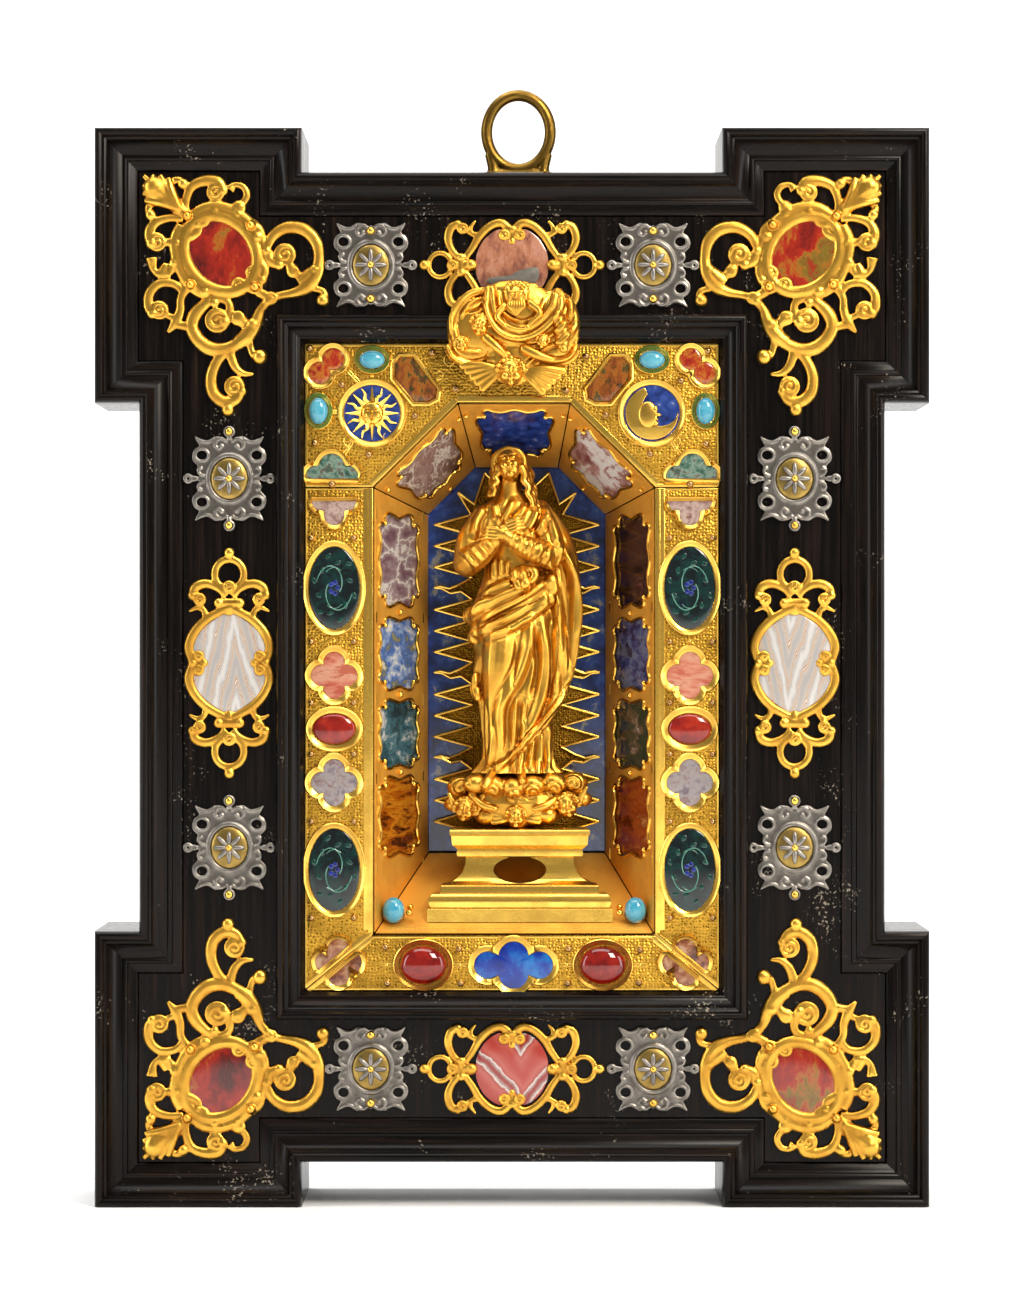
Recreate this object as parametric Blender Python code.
"""Small devotional altarpiece: an ebony frame with eared corners round a gilt, stone-set niche.

The frame is a deep box with a recessed field between an outer and an inner moulding. Gilt and
silver openwork mounts lie on the field. Gilt plates set with stones close the sight opening
round a splayed niche, where a gilt figure stands on clouds and a pedestal before a sheet of rays.
Metres, +Z up, the front faces -Y, and the origin is at the bottom centre.
"""

import math

import bmesh
import bpy
import numpy as np
from mathutils import Matrix, Vector
from mathutils.geometry import delaunay_2d_cdt

# Frame: the widths of its borders run outwards from the niche
CLEARANCE = 0.0003
EAR_WIDTH = 0.079
EAR_HEIGHT = 0.105
EAR_STEP = 0.017
FIELD_DROP = 0.008
FIELD_THICKNESS = 0.0032
SIDE_FIELD = 0.0357
END_FIELD = 0.0377
BACK_BOARD = 0.0027
BACK_GAP = 0.0008
OUTER_MOULDING_WIDTH = 0.0163
INNER_MOULDING_WIDTH = 0.0105
INNER_MOULDING_HEIGHT = 0.0065
REBATE = 0.004

# Hanging ring
RING_TUBE = 0.0046
RING_WIDTH = 0.0297
RING_HEIGHT = 0.0330
RING_X = 0.0025

# Figure group
FIGURE_X = 0.0004
FIGURE_HEIGHT = 0.125
BASE_X = 0.0021
BASE_HEIGHT = 0.0204
PEDESTAL_X = 0.003
PEDESTAL_HEIGHT = 0.0355
PEDESTAL_FOOT = 0.0051
PEDESTAL_HALF_DEPTH = 0.016
PEDESTAL_SIDE_GAP = 0.0184
PEDESTAL_BACK_GAP = 0.0225
FOOT_GAP = 0.0004
RAY_LENGTH = 0.0149
RAYS_ON_A_SIDE = 15
RAY_SHEET = 0.0008
RAY_STAND_OFF = 0.0020
RAY_FOOT = 0.0116
CROWN_GROUP_WIDTH = 0.0522
CROWN_GROUP_RELIEF = 0.0080
CROWN_GROUP_DROP = 0.0216

# Niche and its plates
PLATE_DROP = 0.002
PLATE_THICKNESS = 0.0012
STRIP_WIDTH = 0.0255
NICHE_X = 0.0008
NICHE_DEPTH = 0.045
NICHE_HALF_WIDTH = 0.054
NICHE_FACET = 0.0325
HEADROOM = 0.0231
BOTTOM_PLATE_HEIGHT = 0.0212
ARCH_TOP_DROP = 0.0228
NICHE_BACK_X = 0.0019
NICHE_SPLAY = 0.0198
FACET_SPLAY = 0.0144
FLOOR_RISE = 0.0304
ARCH_FALL = 0.0237
WALL_THICKNESS = 0.0012
STONE_PANEL_THICKNESS = 0.0015
RECESS = 0.0006

# Settings and stones of the front plates
BEZEL = 0.0012
BEZEL_RISE = 0.0007
ROUNDEL_RISE = 0.0009
ROUNDEL_BEZEL = 0.0024
STONE_GIRDLE = 0.0010
FLAT_DOME = 0.0012
BADGE = 0.0010

# Stones down each side strip: the share of the strip's length, half the stone's share of it, and its kind
STRIP_STONES = (
    (0.972, 0.0488, "half"),
    (0.798, 0.0872, "upper_oval"),
    (0.6305, 0.0488, "foil"),
    (0.5174, 0.0374, "cabochon"),
    (0.4141, 0.0488, "foil"),
    (0.2408, 0.0872, "lower_oval"),
)
OVAL_MARGIN = 0.0024
FOIL_MARGIN = 0.0034
SMALL_OVAL_DOME = 0.0022

# Stones along the bottom plate
RED_X = 0.0343
RED_HALF_WIDTH = 0.0098
RED_MARGIN = 0.0022
RED_DOME = 0.0046
BLUE_X = 0.0006
BLUE_HALF_WIDTH = 0.0153
BLUE_MARGIN = 0.0014

# Stones of the top plate: the roundel is set in from the sight, and the rest stand round the roundel
ROUNDEL_INSET = 0.0260
ROUNDEL_DROP = 0.0270
ROUNDEL_RADIUS = 0.0130
TURQUOISES = (("upper", 90.0, 0.0030, 0.0060, 0.0049), ("lower", 3.0, 0.0022, 0.0051, 0.0062))
TURQUOISE_DOME = 0.0030
RED_FOIL = (45.0, 0.0051, 0.0066, 0.0072)
OCTAGON = (139.8, 0.0010, 0.0092, 0.0066)
SHOULDER_FOIL_INSET = 0.0103
SHOULDER_FOIL_RISE = 0.0030
SHOULDER_FOIL_RADIUS = 0.0092

# Stones sunk in the niche walls, as shares of the wall's length and depth
WALL_STONES = ((0.03, 0.255), (0.30, 0.46), (0.51, 0.675), (0.72, 0.905))
FACET_STONE = ((0.12, 0.88),)
PANEL_NEAR = 0.07
PANEL_FAR = 0.82
PANEL_NIP = 0.07

# Openwork mounts: each drawing is so many squares across, and fills its field with a gap on each side
MOUNT_GAP = 0.0008
SIDE_SPAN = 58.8
CROWN_SPAN = 78.4
CROWN_HALF_LENGTH = 75.6
SILVER_SPAN = 112.5
CORNER_SPAN = 54.1
CORNER_REACH = 46.0
CORNER_GAP = 0.0025
SILVER_GAP_X = 0.0022
SILVER_GAP_Z = 0.0066
SIDE_HALF_LENGTH = 75.3
SILVER_HALF_WIDTH = 55.5
SILVER_HALF_LENGTH = 66.4
SIDE_RISE = 0.0015
MOUNT_EDGE = 0.0016
MOUNT_RELIEF = 0.0018
MOUNT_STONE = 0.0022
SEAT_TOLERANCE = 1.4

# The share of a fused casting's fine mesh that is kept
FIGURE_SHARE = 0.0265
CLOUD_SHARE = 0.0185
GROUP_SHARE = 0.0215
RING_SHARE = 0.0155

SIGHT_WIDTH = 2 * (NICHE_HALF_WIDTH + STRIP_WIDTH)
FRAME_WIDTH = SIGHT_WIDTH + 2 * (INNER_MOULDING_WIDTH + SIDE_FIELD + OUTER_MOULDING_WIDTH + EAR_STEP)
NICHE_HEIGHT = PEDESTAL_HEIGHT + BASE_HEIGHT + FIGURE_HEIGHT + HEADROOM
SIGHT_HEIGHT = BOTTOM_PLATE_HEIGHT + NICHE_HEIGHT + ARCH_TOP_DROP
FRAME_HEIGHT = SIGHT_HEIGHT + 2 * (INNER_MOULDING_WIDTH + END_FIELD + OUTER_MOULDING_WIDTH + EAR_STEP)
FRAME_DEPTH = FIELD_DROP + PLATE_DROP + NICHE_DEPTH + STONE_PANEL_THICKNESS + BACK_GAP + BACK_BOARD
GROUP_SEAT = INNER_MOULDING_HEIGHT + 2 * CLEARANCE
TOTAL_DEPTH = FRAME_DEPTH - FIELD_DROP + GROUP_SEAT + CROWN_GROUP_RELIEF

BACK_Y = TOTAL_DEPTH / 2
CREST_Y = BACK_Y - FRAME_DEPTH
FIELD_Y = CREST_Y + FIELD_DROP
BOARD_Y = FIELD_Y + FIELD_THICKNESS
PLATE_Y = FIELD_Y + PLATE_DROP
NICHE_BACK_Y = PLATE_Y + NICHE_DEPTH
FIGURE_Y = NICHE_BACK_Y - PEDESTAL_BACK_GAP
PEDESTAL_HALF_WIDTH = NICHE_HALF_WIDTH - PEDESTAL_SIDE_GAP
NICHE_BACK_HALF_WIDTH = NICHE_HALF_WIDTH - NICHE_SPLAY
NICHE_BACK_FACET = NICHE_FACET - FACET_SPLAY
MID_Z = FRAME_HEIGHT / 2
SIGHT_LOW = MID_Z - SIGHT_HEIGHT / 2
SIGHT_HIGH = MID_Z + SIGHT_HEIGHT / 2
FLOOR_Z = SIGHT_LOW + BOTTOM_PLATE_HEIGHT
ARCH_Z = SIGHT_HIGH - ARCH_TOP_DROP
SHOULDER_Z = ARCH_Z - NICHE_FACET
BACK_FLOOR_Z = FLOOR_Z + FLOOR_RISE
BACK_ARCH_Z = ARCH_Z - ARCH_FALL
BACK_SHOULDER_Z = BACK_ARCH_Z - NICHE_BACK_FACET
SIDE_SQUARE = (SIDE_FIELD - 2 * MOUNT_GAP) / SIDE_SPAN
CROWN_SQUARE = (END_FIELD - 2 * MOUNT_GAP) / CROWN_SPAN
SILVER_SQUARE = (SIDE_FIELD - 2 * MOUNT_GAP) / SILVER_SPAN
CORNER_SQUARE = (SIDE_FIELD - 2 * MOUNT_GAP) / CORNER_SPAN
CORNER_INSET = OUTER_MOULDING_WIDTH + CORNER_GAP + CORNER_REACH * CORNER_SQUARE
SIDE_MOUNT_X = SIGHT_WIDTH / 2 + INNER_MOULDING_WIDTH + SIDE_FIELD / 2
CROWN_MOUNT_Z = SIGHT_HEIGHT / 2 + INNER_MOULDING_WIDTH + END_FIELD / 2

EBONY = ("ebony", (0.012, 0.009, 0.008), 0.35, 0.0)
GILT = ("gilt_copper", (0.83, 0.55, 0.17), 0.28, 1.0)
SILVER = ("old_silver", (0.46, 0.44, 0.42), 0.38, 1.0)
BRASS = ("dark_brass", (0.30, 0.20, 0.09), 0.42, 1.0)
JASPER = ("red_jasper", (0.42, 0.06, 0.02), 0.15, 0.0)
AGATE = ("banded_agate", (0.52, 0.45, 0.40), 0.12, 0.0)
LAPIS = ("lapis_lazuli", (0.03, 0.06, 0.28), 0.25, 0.0)
CARNELIAN = ("carnelian", (0.40, 0.02, 0.01), 0.06, 0.0)
TURQUOISE = ("turquoise", (0.10, 0.53, 0.60), 0.18, 0.0)
ENAMEL = ("dark_enamel", (0.012, 0.03, 0.04), 0.08, 0.0)


def surface(finish):
    """The material of one finish, made once."""
    name, colour, roughness, metallic = finish
    found = bpy.data.materials.get(name)
    if found:
        return found
    made = bpy.data.materials.new(name)
    made.use_nodes = True
    shader = made.node_tree.nodes["Principled BSDF"]
    shader.inputs["Base Color"].default_value = (*colour, 1.0)
    shader.inputs["Roughness"].default_value = roughness
    shader.inputs["Metallic"].default_value = metallic
    made.diffuse_color = (*colour, 1.0)
    return made


def finish(name, mesh_data, material, smooth_angle=None):
    """A scene object from a bmesh, with its doubles merged and its faces outwards."""
    bmesh.ops.remove_doubles(mesh_data, verts=mesh_data.verts, dist=1e-6)
    bmesh.ops.recalc_face_normals(mesh_data, faces=mesh_data.faces)
    mesh = bpy.data.meshes.new(name)
    mesh_data.to_mesh(mesh)
    mesh_data.free()
    mesh.materials.append(surface(material))
    if smooth_angle:
        mesh.shade_smooth()
        mesh.set_sharp_from_angle(angle=math.radians(smooth_angle))
    made = bpy.data.objects.new(name, mesh)
    bpy.context.scene.collection.objects.link(made)
    return made


def front_plane(y):
    """A plane that faces the viewer at depth y, with u along +X, v along +Z and w towards -Y."""
    return Matrix(((1, 0, 0, 0), (0, 0, -1, y), (0, 1, 0, 0), (0, 0, 0, 1)))


def plane_through(corner, along, across):
    """A plane on three points: u runs from corner to along, and w is u cross the way to across."""
    u = (along - corner).normalized()
    w = u.cross(across - corner).normalized()
    v = w.cross(u)
    turned = Matrix((u, v, w)).transposed().to_4x4()
    return Matrix.Translation(corner) @ turned


def offset_loop(loop, inward):
    """The loop moved inwards by a distance, with mitred corners. The loop runs anticlockwise."""
    moved = []
    for i, here in enumerate(loop):
        before = Vector(here) - Vector(loop[i - 1])
        after = Vector(loop[(i + 1) % len(loop)]) - Vector(here)
        a = Vector((-before.y, before.x)).normalized()
        b = Vector((-after.y, after.x)).normalized()
        reach = inward / max(1 + a.dot(b), 0.2)
        moved.append((here[0] + (a.x + b.x) * reach, here[1] + (a.y + b.y) * reach))
    return moved


def inside_loops(point, loops):
    """Whether the point is inside an odd number of the loops."""
    x, y = point
    odd = False
    for loop in loops:
        for i, (x1, y1) in enumerate(loop):
            x0, y0 = loop[i - 1]
            if (y0 > y) != (y1 > y) and x < x0 + (y - y0) * (x1 - x0) / (y1 - y0):
                odd = not odd
    return odd


def filled(loops, peaks=()):
    """Triangles that fill the loops by the even-odd rule, as (points, triples); peaks are inner points."""
    points = []
    edges = []
    for loop in loops:
        first = len(points)
        points.extend(Vector(p) for p in loop)
        edges.extend((first + i, first + (i + 1) % len(loop)) for i in range(len(loop)))
    points.extend(Vector(p) for p in peaks)
    found, _, faces, origin, _, _ = delaunay_2d_cdt(points, edges, [], 0, 1e-9)
    source = [ids[0] if ids else 0 for ids in origin]
    kept = []
    for face in faces:
        middle = sum((found[i] for i in face), Vector((0, 0))) / 3
        if inside_loops(middle, loops):
            kept.append(tuple(source[i] for i in face))
    return points, kept


def sheet(name, loops, place, thickness, material, settings=(), peaks=(), smooth=None):
    """A flat piece with the loops' outline, set stones' bezels and recesses, and raised peaks.

    A setting is (loop, rings, cap): rings are (inset, height) steps inwards from the loop, and cap
    is the height of the middle point that closes it. A peak is (u, v, height).
    """
    mesh_data = bmesh.new()
    holes = [setting[0] for setting in settings]
    points, faces = filled([*loops, *holes], [(u, v) for u, v, _ in peaks])
    heights = [0.0] * (len(points) - len(peaks)) + [height for _, _, height in peaks]
    front = [mesh_data.verts.new(place @ Vector((*p, h))) for p, h in zip(points, heights)]
    for face in faces:
        mesh_data.faces.new([front[i] for i in face])
    back_points, back_faces = filled(loops)
    back = [mesh_data.verts.new(place @ Vector((*p, -thickness))) for p in back_points]
    for face in back_faces:
        mesh_data.faces.new([back[i] for i in reversed(face)])
    first = 0
    for loop in loops:
        size = len(loop)
        for i in range(size):
            j = (i + 1) % size
            mesh_data.faces.new([front[first + i], back[first + i], back[first + j], front[first + j]])
        first += size
    for loop, rings, cap in settings:
        size = len(loop)
        last = front[first : first + size]
        first += size
        for inset, height in rings:
            ring = [place @ Vector((*p, height)) for p in offset_loop(loop, inset)]
            here = [mesh_data.verts.new(p) for p in ring]
            for i in range(size):
                j = (i + 1) % size
                mesh_data.faces.new([last[i], last[j], here[j], here[i]])
            last = here
        centre = np.mean(loop, axis=0)
        middle = mesh_data.verts.new(place @ Vector((*centre, cap)))
        for i in range(size):
            mesh_data.faces.new([last[i], last[(i + 1) % size], middle])
    return finish(name, mesh_data, material, smooth)


def ellipse(x, z, half_width, half_height, sides=10, turn=0.0):
    """An anticlockwise ellipse, turned by an angle in degrees."""
    turned = math.radians(turn)
    loop = []
    for i in range(sides):
        angle = 2 * math.pi * (i + 0.5) / sides
        u = half_width * math.cos(angle)
        v = half_height * math.sin(angle)
        loop.append(
            (
                x + u * math.cos(turned) - v * math.sin(turned),
                z + u * math.sin(turned) + v * math.cos(turned),
            )
        )
    return loop


def quatrefoil(x, z, half_width, half_height, sides=16):
    """Four round lobes, one each way, as one anticlockwise loop."""
    loop = []
    for i in range(sides):
        angle = 2 * math.pi * i / sides
        swell = 0.86 + 0.14 * math.cos(4 * angle)
        loop.append((x + half_width * swell * math.cos(angle), z + half_height * swell * math.sin(angle)))
    return loop


def half_foil(x, z, radius, turn, sides=7):
    """Half of a round foil: an arc on one side of a straight edge that is turned in degrees."""
    turned = math.radians(turn)
    return [
        (
            x + radius * math.cos(turned + math.pi * i / (sides - 1)),
            z + radius * math.sin(turned + math.pi * i / (sides - 1)),
        )
        for i in range(sides)
    ]


def bezelled(loop, width=BEZEL, rise=BEZEL_RISE):
    """A setting: a rounded bezel that stands on the plate round a sunk seat."""
    return (loop, ((width / 3, rise), (width, -RECESS)), -RECESS)


def domed(loop, height):
    """A setting with its stone fused in it, polished to a low dome of a height."""
    return (loop, ((BEZEL / 3, BEZEL_RISE), (BEZEL, 0.0)), height)


def cabochon(name, loop, y_seat, girdle, dome, material, shoulder=0.0009):
    """A loose stone: the loop's outline, an upright girdle, a shoulder and a domed top."""
    mesh_data = bmesh.new()
    size = len(loop)
    points, faces = filled([loop])
    back = [mesh_data.verts.new((x, y_seat, z)) for x, z in points]
    for face in faces:
        mesh_data.faces.new([back[i] for i in face])
    last = back
    steps = [(0.0, girdle)]
    if dome > 2 * shoulder:
        steps.append((shoulder, girdle + 0.6 * dome))
    for inset, height in steps:
        here = [mesh_data.verts.new((x, y_seat - height, z)) for x, z in offset_loop(loop, inset)]
        for i in range(size):
            j = (i + 1) % size
            mesh_data.faces.new([last[i], last[j], here[j], here[i]])
        last = here
    x, z = np.mean(loop, axis=0)
    middle = mesh_data.verts.new((x, y_seat - girdle - dome, z))
    for i in range(size):
        mesh_data.faces.new([last[i], last[(i + 1) % size], middle])
    return finish(name, mesh_data, material, 40)


def moulding(name, outline, profile, back_y, front_y, material):
    """A mitred moulding run round the outline; profile points are (inset, height over front_y)."""
    mesh_data = bmesh.new()
    rings = []
    ends = [(profile[-1][0], back_y), *((inset, front_y - rise) for inset, rise in profile[::-1])]
    for inset, y in [*ends, (profile[0][0], back_y)]:
        loop = offset_loop(outline, inset)
        rings.append([mesh_data.verts.new((x, y, z)) for x, z in loop])
    for ring, following in zip(rings, [*rings[1:], rings[0]]):
        for i in range(len(ring)):
            j = (i + 1) % len(ring)
            mesh_data.faces.new([ring[i], ring[j], following[j], following[i]])
    return finish(name, mesh_data, material)


def rectangle(low_x, low_z, high_x, high_z):
    """An anticlockwise rectangle."""
    return [(low_x, low_z), (high_x, low_z), (high_x, high_z), (low_x, high_z)]


def frame_outline():
    """The eared outline of the frame, anticlockwise from the lower left foot."""
    w = FRAME_WIDTH / 2
    body = w - EAR_STEP
    ear = w - EAR_WIDTH
    top = FRAME_HEIGHT
    corner = [(ear, EAR_STEP), (ear, 0), (w, 0), (w, EAR_HEIGHT), (body, EAR_HEIGHT)]
    upper = [(x, top - z) for x, z in reversed(corner)]
    right = corner + upper
    return right + [(-x, z) for x, z in reversed(right)]


def sight_outline(grow=0.0):
    """The sight opening, grown outwards by a distance."""
    half = SIGHT_WIDTH / 2 + grow
    return rectangle(-half, SIGHT_LOW - grow, half, SIGHT_HIGH + grow)


def niche_outline(depth, grow=0.0):
    """The niche's arch at a depth behind the plates, as six corners from the lower left."""
    t = depth / NICHE_DEPTH
    x = NICHE_X + (NICHE_BACK_X - NICHE_X) * t
    half = NICHE_HALF_WIDTH + (NICHE_BACK_HALF_WIDTH - NICHE_HALF_WIDTH) * t
    facet = NICHE_FACET + (NICHE_BACK_FACET - NICHE_FACET) * t
    low = FLOOR_Z + (BACK_FLOOR_Z - FLOOR_Z) * t
    high = ARCH_Z + (BACK_ARCH_Z - ARCH_Z) * t
    loop = [
        (x - half, low),
        (x + half, low),
        (x + half, high - facet),
        (x + half - facet, high),
        (x - half + facet, high),
        (x - half, high - facet),
    ]
    return offset_loop(loop, -grow) if grow else loop


def build_frame():
    """The ebony case, its field and its two mouldings."""
    outline = frame_outline()
    case_y = BOARD_Y + CLEARANCE
    case_depth = BACK_Y - case_y
    pocket = sight_outline(-REBATE)
    pocket_depth = case_depth - BACK_BOARD
    sheet(
        "case",
        [outline],
        front_plane(case_y),
        case_depth,
        EBONY,
        [(pocket, ((0.0, -pocket_depth),), -pocket_depth)],
    )
    field = offset_loop(outline, OUTER_MOULDING_WIDTH + CLEARANCE)
    sheet("field", [field, sight_outline()], front_plane(FIELD_Y), FIELD_THICKNESS, EBONY)
    width = OUTER_MOULDING_WIDTH
    drop = FIELD_DROP
    outer_profile = (
        (0.0, 0.55 * drop),
        (0.0008, 0.90 * drop),
        (0.0026, 1.00 * drop),
        (0.0050, 0.82 * drop),
        (0.0094, 0.36 * drop),
        (width - 0.0030, 0.20 * drop),
        (width, 0.09 * drop),
    )
    moulding("outer_moulding", outline, outer_profile, BOARD_Y, FIELD_Y, EBONY)
    width = INNER_MOULDING_WIDTH
    height = INNER_MOULDING_HEIGHT
    inner_profile = (
        (0.0, 0.45 * height),
        (0.0012, 0.95 * height),
        (0.0026, 1.00 * height),
        (0.0034, 0.80 * height),
        (0.0050, 0.66 * height),
        (0.0054, 0.52 * height),
        (width - 0.0024, 0.24 * height),
        (width - 0.0012, 0.20 * height),
        (width, 0.06 * height),
    )
    seat_y = FIELD_Y - CLEARANCE
    moulding("inner_moulding", sight_outline(width), inner_profile, seat_y, seat_y, EBONY)


def shrunk(loop):
    """The outline of a loose stone that drops into the bezel round a loop."""
    return offset_loop(loop, BEZEL + CLEARANCE)


def by_roundel(hand, angle, gap, half_width, half_height):
    """The centre of a stone that stands off the roundel at an angle from the outer side, in degrees."""
    turned = math.radians(angle)
    thickness = math.hypot(half_width * math.cos(turned), half_height * math.sin(turned))
    away = ROUNDEL_RADIUS + gap + min(thickness, max(half_width, half_height))
    x = SIGHT_WIDTH / 2 - ROUNDEL_INSET + away * math.cos(turned)
    return hand * x, SIGHT_HIGH - ROUNDEL_DROP + away * math.sin(turned)


def build_top_plate(half, low):
    """The plate over the arch, down to the shoulders. Returns its loose stones."""
    high = SIGHT_HIGH - CLEARANCE
    arch = niche_outline(0.0)
    left = [(-half, low), (arch[5][0], low), arch[4]]
    right = [arch[3], (arch[2][0], low), (half, low)]
    loop = [*left, *right, (half, high), (-half, high)]
    settings = []
    stones = []
    for side, hand in (("left", -1), ("right", 1)):
        x = hand * (SIGHT_WIDTH / 2 - ROUNDEL_INSET)
        roundel = ellipse(x, SIGHT_HIGH - ROUNDEL_DROP, ROUNDEL_RADIUS, ROUNDEL_RADIUS, 12)
        settings.append(bezelled(roundel, ROUNDEL_BEZEL, ROUNDEL_RISE))
        for end, angle, gap, wide, tall in TURQUOISES:
            seat = ellipse(*by_roundel(hand, angle, gap, wide, tall), wide, tall, 8)
            settings.append(bezelled(seat))
            stones.append((f"turquoise_{side}_{end}", seat, TURQUOISE_DOME, TURQUOISE))
        settings.append(domed(ellipse(*by_roundel(hand, *RED_FOIL), *RED_FOIL[2:], 8), 0.0))
        angle, gap, long, short = OCTAGON
        place = by_roundel(hand, angle, gap, short, short)
        settings.append(domed(ellipse(*place, long, short, 8, 45 * hand), FLAT_DOME))
        x = hand * (SIGHT_WIDTH / 2 - SHOULDER_FOIL_INSET)
        foil = half_foil(x, SHOULDER_Z + SHOULDER_FOIL_RISE, SHOULDER_FOIL_RADIUS, 0)
        settings.append(domed(foil, FLAT_DOME))
    sheet("top_plate", [loop], front_plane(PLATE_Y), PLATE_THICKNESS, GILT, settings)
    return stones


def build_side_plate(side, hand, half, low, high):
    """The strip on one side of the niche, mitred at its foot. Returns its loose stones."""
    inner = niche_outline(0.0)[1 if hand > 0 else 0][0]
    loop = [(hand * half, low), (hand * half, high), (inner, high), (inner, FLOOR_Z + CLEARANCE)]
    settings = []
    stones = []
    x = hand * (SIGHT_WIDTH / 2 + NICHE_HALF_WIDTH) / 2
    length = SHOULDER_Z - SIGHT_LOW
    oval = STRIP_WIDTH / 2 - OVAL_MARGIN
    foil = STRIP_WIDTH / 2 - FOIL_MARGIN
    for share, half_share, kind in STRIP_STONES:
        z = SIGHT_LOW + share * length
        tall = half_share * length
        if kind == "half":
            settings.append(domed(half_foil(x, z, tall, 180), FLAT_DOME))
        elif kind == "foil":
            settings.append(domed(quatrefoil(x, z, foil, tall, 12), 0.0))
        elif kind == "cabochon":
            settings.append(domed(ellipse(x, z, foil, tall, 8), SMALL_OVAL_DOME))
        else:
            seat = ellipse(x, z, oval, tall, 10)
            settings.append(bezelled(seat))
            stones.append((f"enamel_{side}_{kind.split('_')[0]}", seat, FLAT_DOME, ENAMEL))
    outline = [loop if hand > 0 else loop[::-1]]
    sheet(f"{side}_plate", outline, front_plane(PLATE_Y), PLATE_THICKNESS, GILT, settings)
    return stones


def build_bottom_plate(half, low):
    """The plate under the niche, mitred at both ends. Returns its loose stones."""
    arch = niche_outline(0.0)
    loop = [(CLEARANCE - half, low), (half - CLEARANCE, low), arch[1], arch[0]]
    tall = BOTTOM_PLATE_HEIGHT / 2
    z = SIGHT_LOW + tall
    red = (RED_HALF_WIDTH, tall - RED_MARGIN, 10)
    stones = [
        ("carnelian_left", ellipse(-RED_X, z, *red), RED_DOME, CARNELIAN),
        ("carnelian_right", ellipse(RED_X, z, *red), RED_DOME, CARNELIAN),
        ("blue_foil", quatrefoil(BLUE_X, z, BLUE_HALF_WIDTH, tall - BLUE_MARGIN, 16), FLAT_DOME, LAPIS),
    ]
    settings = [bezelled(seat) for _, seat, _, _ in stones]
    sheet("bottom_plate", [loop], front_plane(PLATE_Y), PLATE_THICKNESS, GILT, settings)
    return stones


def build_front_plates():
    """Gilt plates round the niche, with bezels, fused small stones, and the loose larger stones."""
    half = SIGHT_WIDTH / 2 - CLEARANCE
    low = SIGHT_LOW + CLEARANCE
    joint = CLEARANCE / 2
    stones = build_top_plate(half, SHOULDER_Z + joint)
    for side, hand in (("left", -1), ("right", 1)):
        stones += build_side_plate(side, hand, half, low + CLEARANCE, SHOULDER_Z - joint)
    stones += build_bottom_plate(half, low)
    for name, seat, dome, stone in stones:
        cabochon(name, shrunk(seat), PLATE_Y + RECESS - CLEARANCE, STONE_GIRDLE, dome, stone)


def build_roundels():
    """The sun's mask with its rays, and the crescent moon, each in its roundel."""
    x = SIGHT_WIDTH / 2 - ROUNDEL_INSET
    z = SIGHT_HIGH - ROUNDEL_DROP
    place = front_plane(PLATE_Y + RECESS - CLEARANCE - BADGE)
    reach = ROUNDEL_RADIUS - ROUNDEL_BEZEL - 2 * CLEARANCE
    disc = 0.48 * reach
    rays = 12
    loop = []
    for i in range(2 * rays):
        length = disc if i % 2 else reach
        angle = math.pi * i / rays + math.pi / 2
        loop.append((-x + length * math.cos(angle), z + length * math.sin(angle)))
    face = (ellipse(-x, z, disc * 0.9, disc * 0.9, 8), ((0.0012, 0.0012),), 0.0020)
    sheet("sun", [loop], place, BADGE, GILT, [face])
    crescent = []
    steps = 8
    for i in range(steps + 1):
        angle = math.radians(112 + 244 * i / steps)
        crescent.append((x + reach * math.cos(angle), z + reach * math.sin(angle)))
    inner = 0.74 * reach
    middle_x = x + 0.28 * reach
    middle_z = z + 0.18 * reach
    for i in range(1, steps):
        angle = math.radians(-20 - 208 * i / steps)
        crescent.append((middle_x + inner * math.cos(angle), middle_z + inner * math.sin(angle)))
    sheet("moon", [crescent], place, BADGE, GILT)


def wavy_panel(low, high, near, far):
    """The cut-out over one wall stone, in shares of the wall's length and depth, with nipped sides."""
    loop = []
    half_u = (high - low) / 2
    half_v = (far - near) / 2
    steps = 8
    for i in range(steps):
        angle = 2 * math.pi * i / steps
        c = math.cos(angle)
        s = math.sin(angle)
        square = (1 - PANEL_NIP * (1 - math.cos(4 * angle))) / max(abs(c), abs(s))
        loop.append((low + half_u * (1 + c * square), near + half_v * (1 + s * square)))
    return loop


def on_wall(point, corners):
    """A point given in shares of a wall's length and depth, on the four-cornered wall itself."""
    s, t = point
    near = Vector(corners[0]).lerp(Vector(corners[1]), s)
    far = Vector(corners[3]).lerp(Vector(corners[2]), s)
    return tuple(near.lerp(far, t))


def corner_points(depths, sides):
    """Niche corners as vectors: for each depth, the points of the two named corners."""
    found = []
    for depth in depths:
        outline = niche_outline(depth)
        for side in sides:
            x, z = outline[side]
            found.append(Vector((x, PLATE_Y + depth, z)))
    return found


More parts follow.
